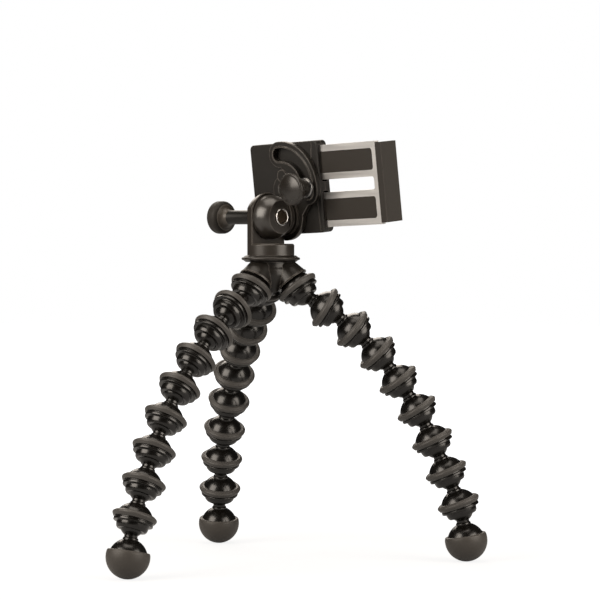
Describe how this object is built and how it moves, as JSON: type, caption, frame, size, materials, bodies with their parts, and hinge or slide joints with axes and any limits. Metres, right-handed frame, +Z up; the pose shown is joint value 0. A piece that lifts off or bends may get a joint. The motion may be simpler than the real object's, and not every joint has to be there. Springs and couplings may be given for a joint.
{
  "type": "flexible leg tripod",
  "caption": "Desk tripod with three flexible ball-and-socket legs, a pan and tilt head and a sliding phone clamp.",
  "frame": {"origin": "on the floor under the middle of the whole tripod's box in its rest pose", "axes": "+Z up, +X along the clamp's arms away from the tilt knob, +Y towards the phone side"},
  "size_m": [0.2132, 0.2344, 0.2572],
  "materials": {
    "gloss_plastic": "polished near-black ball and socket plastic",
    "ring_rubber": "matt dark grey rubber",
    "satin_plastic": "satin black moulded plastic",
    "rail_metal": "satin silver rails",
    "chrome": "bright plating",
    "steel": "dark fastener steel"
  },
  "bodies": {
    "hub": {"hub_body": "gloss_plastic", "hub_flange": "gloss_plastic", "pan_stud": "steel", "leg_a_socket_1": "gloss_plastic", "leg_b_socket_1": "gloss_plastic", "leg_c_socket_1": "gloss_plastic"},
    "pan": {"fork": "satin_plastic"},
    "tilt_knob": {"tilt_knob_rod": "gloss_plastic", "tilt_knob_grip": "ring_rubber"},
    "tilt": {"tilt_ball": "gloss_plastic", "tilt_bolt": "chrome", "bracket": "satin_plastic", "bracket_plug": "satin_plastic", "pivot_screw": "steel"},
    "clamp": {"clamp_back_case": "satin_plastic", "clamp_front_case": "satin_plastic", "clamp_screws": "steel", "clamp_face_pad": "ring_rubber", "fixed_jaw": "satin_plastic", "fixed_jaw_pad": "ring_rubber"},
    "lock_knob": {"lock_screw": "steel", "lock_washer": "chrome", "lock_head": "satin_plastic"},
    "carriage": {"carriage": "rail_metal", "rail_strip_upper": "satin_plastic", "rail_strip_lower": "satin_plastic", "moving_jaw": "satin_plastic", "moving_jaw_pad": "ring_rubber", "jaw_screws": "steel"},
    "leg_a_segment_2": {"leg_a_segment_2": "gloss_plastic"},
    "leg_a_segment_3": {"leg_a_segment_3": "gloss_plastic"},
    "leg_a_segment_4": {"leg_a_segment_4": "gloss_plastic"},
    "leg_a_segment_5": {"leg_a_segment_5": "gloss_plastic"},
    "leg_a_segment_6": {"leg_a_segment_6": "gloss_plastic"},
    "leg_a_segment_7": {"leg_a_segment_7": "gloss_plastic"},
    "leg_a_segment_8": {"leg_a_segment_8": "gloss_plastic"},
    "leg_a_segment_9": {"leg_a_segment_9": "gloss_plastic"},
    "leg_a_foot": {"leg_a_foot_stud": "gloss_plastic", "leg_a_foot_pad": "ring_rubber"},
    "leg_b_segment_2": {"leg_b_segment_2": "gloss_plastic"},
    "leg_b_segment_3": {"leg_b_segment_3": "gloss_plastic"},
    "leg_b_segment_4": {"leg_b_segment_4": "gloss_plastic"},
    "leg_b_segment_5": {"leg_b_segment_5": "gloss_plastic"},
    "leg_b_segment_6": {"leg_b_segment_6": "gloss_plastic"},
    "leg_b_segment_7": {"leg_b_segment_7": "gloss_plastic"},
    "leg_b_segment_8": {"leg_b_segment_8": "gloss_plastic"},
    "leg_b_segment_9": {"leg_b_segment_9": "gloss_plastic"},
    "leg_b_foot": {"leg_b_foot_stud": "gloss_plastic", "leg_b_foot_pad": "ring_rubber"},
    "leg_c_segment_2": {"leg_c_segment_2": "gloss_plastic"},
    "leg_c_segment_3": {"leg_c_segment_3": "gloss_plastic"},
    "leg_c_segment_4": {"leg_c_segment_4": "gloss_plastic"},
    "leg_c_segment_5": {"leg_c_segment_5": "gloss_plastic"},
    "leg_c_segment_6": {"leg_c_segment_6": "gloss_plastic"},
    "leg_c_segment_7": {"leg_c_segment_7": "gloss_plastic"},
    "leg_c_segment_8": {"leg_c_segment_8": "gloss_plastic"},
    "leg_c_segment_9": {"leg_c_segment_9": "gloss_plastic"},
    "leg_c_foot": {"leg_c_foot_stud": "gloss_plastic", "leg_c_foot_pad": "ring_rubber"}
  },
  "joints": [
    {"name": "pan_turn", "type": "hinge", "parent": "hub", "child": "pan", "pos_m": [0.01123, 0.01782, 0.187], "axis": [0, 0, 1], "continuous": true},
    {"name": "tilt_knob_turn", "type": "hinge", "parent": "pan", "child": "tilt_knob", "pos_m": [-0.02377, 0.01782, 0.2103], "axis": [1, 0, 0], "continuous": true},
    {"name": "head_tilt", "type": "hinge", "parent": "pan", "child": "tilt", "pos_m": [0.01123, 0.01782, 0.2103], "axis": [1, 0, 0], "range_deg": [-5.5, 79.5]},
    {"name": "clamp_turn", "type": "hinge", "parent": "tilt", "child": "clamp", "pos_m": [0.01123, 0.03152, 0.22769], "axis": [0, -0.9954, -0.0958], "range_deg": [-2, 88]},
    {"name": "lock_knob_turn", "type": "hinge", "parent": "clamp", "child": "lock_knob", "pos_m": [0.03242, 0.02697, 0.228], "axis": [0, 0.9954, 0.0958], "continuous": true},
    {"name": "jaw_slide", "type": "slide", "parent": "clamp", "child": "carriage", "axis": [0.9994, -0.0033, 0.0347], "range_m": [-0.0421, 0]},
    {"name": "leg_a_fold_2", "type": "hinge", "parent": "hub", "child": "leg_a_segment_2", "pos_m": [0.01123, -0.00177, 0.16387], "axis": [-0.9976, -0.0698, 0], "range_deg": [-50.47, 11.35]},
    {"name": "leg_a_sway_3", "type": "hinge", "parent": "leg_a_segment_2", "child": "leg_a_segment_3", "pos_m": [0.01247, -0.01952, 0.15253], "axis": [0.0115, -0.6577, 0.7532], "range_deg": [-27.34, 32.46]},
    {"name": "leg_a_fold_4", "type": "hinge", "parent": "leg_a_segment_3", "child": "leg_a_segment_4", "pos_m": [0.01275, -0.03541, 0.13866], "axis": [0.9998, -0.0175, 0], "range_deg": [-37.66, 24.28]},
    {"name": "leg_a_sway_5", "type": "hinge", "parent": "leg_a_segment_4", "child": "leg_a_segment_5", "pos_m": [0.0125, -0.04957, 0.12302], "axis": [-0.0274, 0.784, -0.6202], "range_deg": [-28.77, 32.81]},
    {"name": "leg_a_fold_6", "type": "hinge", "parent": "leg_a_segment_5", "child": "leg_a_segment_6", "pos_m": [0.01296, -0.06265, 0.10646], "axis": [-0.9998, -0.0175, 0], "range_deg": [-24.29, 37.7]},
    {"name": "leg_a_sway_7", "type": "hinge", "parent": "leg_a_segment_6", "child": "leg_a_segment_7", "pos_m": [0.01315, -0.07371, 0.0885], "axis": [0.1068, -0.8702, 0.481], "range_deg": [-34.04, 27.75]},
    {"name": "leg_a_fold_8", "type": "hinge", "parent": "leg_a_segment_7", "child": "leg_a_segment_8", "pos_m": [0.01439, -0.08378, 0.07], "axis": [0.9903, 0.1392, 0], "range_deg": [-33.87, 28.13]},
    {"name": "leg_a_sway_9", "type": "hinge", "parent": "leg_a_segment_8", "child": "leg_a_segment_9", "pos_m": [0.01567, -0.0929, 0.05101], "axis": [-0.0651, 0.9308, -0.3597], "range_deg": [-32.42, 28.92]},
    {"name": "leg_a_fold_10", "type": "hinge", "parent": "leg_a_segment_9", "child": "leg_a_foot", "pos_m": [0.0162, -0.10047, 0.03132], "axis": [-0.9994, -0.0349, 0], "range_deg": [-21.42, 40.56]},
    {"name": "leg_b_fold_2", "type": "hinge", "parent": "hub", "child": "leg_b_segment_2", "pos_m": [0.0282, 0.02762, 0.16387], "axis": [0.7431, -0.6691, 0], "range_deg": [-51.08, 7.28]},
    {"name": "leg_b_sway_3", "type": "hinge", "parent": "leg_b_segment_2", "child": "leg_b_segment_3", "pos_m": [0.04024, 0.04099, 0.15285], "axis": [0.3722, 0.5123, 0.774], "range_deg": [-35.3, 24.98]},
    {"name": "leg_b_fold_4", "type": "hinge", "parent": "leg_b_segment_3", "child": "leg_b_segment_4", "pos_m": [0.04984, 0.0542, 0.13949], "axis": [-0.7986, 0.6018, 0], "range_deg": [-36.84, 25.14]},
    {"name": "leg_b_sway_5", "type": "hinge", "parent": "leg_b_segment_4", "child": "leg_b_segment_5", "pos_m": [0.05879, 0.06609, 0.12454], "axis": [-0.5195, -0.6191, -0.589], "range_deg": [-32, 27.72]},
    {"name": "leg_b_fold_6", "type": "hinge", "parent": "leg_b_segment_5", "child": "leg_b_segment_6", "pos_m": [0.06678, 0.07561, 0.10748], "axis": [0.7314, -0.682, 0], "range_deg": [-27.09, 34.82]},
    {"name": "leg_b_sway_7", "type": "hinge", "parent": "leg_b_segment_6", "child": "leg_b_segment_7", "pos_m": [0.07445, 0.08383, 0.08963], "axis": [0.6277, 0.65, 0.4283], "range_deg": [-29.78, 30.85]},
    {"name": "leg_b_fold_8", "type": "hinge", "parent": "leg_b_segment_7", "child": "leg_b_segment_8", "pos_m": [0.08072, 0.09033, 0.07056], "axis": [-0.7193, 0.6947, 0], "range_deg": [-32.95, 29.05]},
    {"name": "leg_b_sway_9", "type": "hinge", "parent": "leg_b_segment_8", "child": "leg_b_segment_9", "pos_m": [0.08655, 0.09636, 0.0512], "axis": [-0.6268, -0.6962, -0.3499], "range_deg": [-30.08, 31.67]},
    {"name": "leg_b_fold_10", "type": "hinge", "parent": "leg_b_segment_9", "child": "leg_b_foot", "pos_m": [0.09149, 0.10184, 0.03143], "axis": [0.7431, -0.6691, 0], "range_deg": [-20.27, 41.73]},
    {"name": "leg_c_fold_2", "type": "hinge", "parent": "hub", "child": "leg_c_segment_2", "pos_m": [-0.00573, 0.02762, 0.16387], "axis": [0.4384, 0.8988, 0], "range_deg": [-47.58, 14.24]},
    {"name": "leg_c_sway_3", "type": "hinge", "parent": "leg_c_segment_2", "child": "leg_c_segment_3", "pos_m": [-0.02119, 0.03516, 0.15165], "axis": [-0.5328, 0.2599, 0.8053], "range_deg": [-30.99, 30.99]},
    {"name": "leg_c_fold_4", "type": "hinge", "parent": "leg_c_segment_3", "child": "leg_c_segment_4", "pos_m": [-0.03647, 0.04261, 0.13914], "axis": [-0.4695, -0.8829, 0], "range_deg": [-38.61, 23.32]},
    {"name": "leg_c_sway_5", "type": "hinge", "parent": "leg_c_segment_4", "child": "leg_c_segment_5", "pos_m": [-0.04986, 0.04973, 0.12448], "axis": [0.6704, -0.3871, -0.633], "range_deg": [-31.79, 28.89]},
    {"name": "leg_c_fold_6", "type": "hinge", "parent": "leg_c_segment_5", "child": "leg_c_segment_6", "pos_m": [-0.06143, 0.05641, 0.10815], "axis": [0.454, 0.891, 0], "range_deg": [-23.32, 38.57]},
    {"name": "leg_c_sway_7", "type": "hinge", "parent": "leg_c_segment_6", "child": "leg_c_segment_7", "pos_m": [-0.07129, 0.06143, 0.09018], "axis": [-0.788, 0.419, 0.4512], "range_deg": [-30.14, 31.19]},
    {"name": "leg_c_fold_8", "type": "hinge", "parent": "leg_c_segment_7", "child": "leg_c_segment_8", "pos_m": [-0.07969, 0.0659, 0.07135], "axis": [-0.515, -0.8572, 0], "range_deg": [-37.65, 24.3]},
    {"name": "leg_c_sway_9", "type": "hinge", "parent": "leg_c_segment_8", "child": "leg_c_segment_9", "pos_m": [-0.08591, 0.06964, 0.05153], "axis": [0.7782, -0.5449, -0.3123], "range_deg": [-32.32, 29.57]},
    {"name": "leg_c_fold_10", "type": "hinge", "parent": "leg_c_segment_9", "child": "leg_c_foot", "pos_m": [-0.09131, 0.07342, 0.03149], "axis": [0.5736, 0.8192, 0], "range_deg": [-21.42, 40.58]}
  ]
}
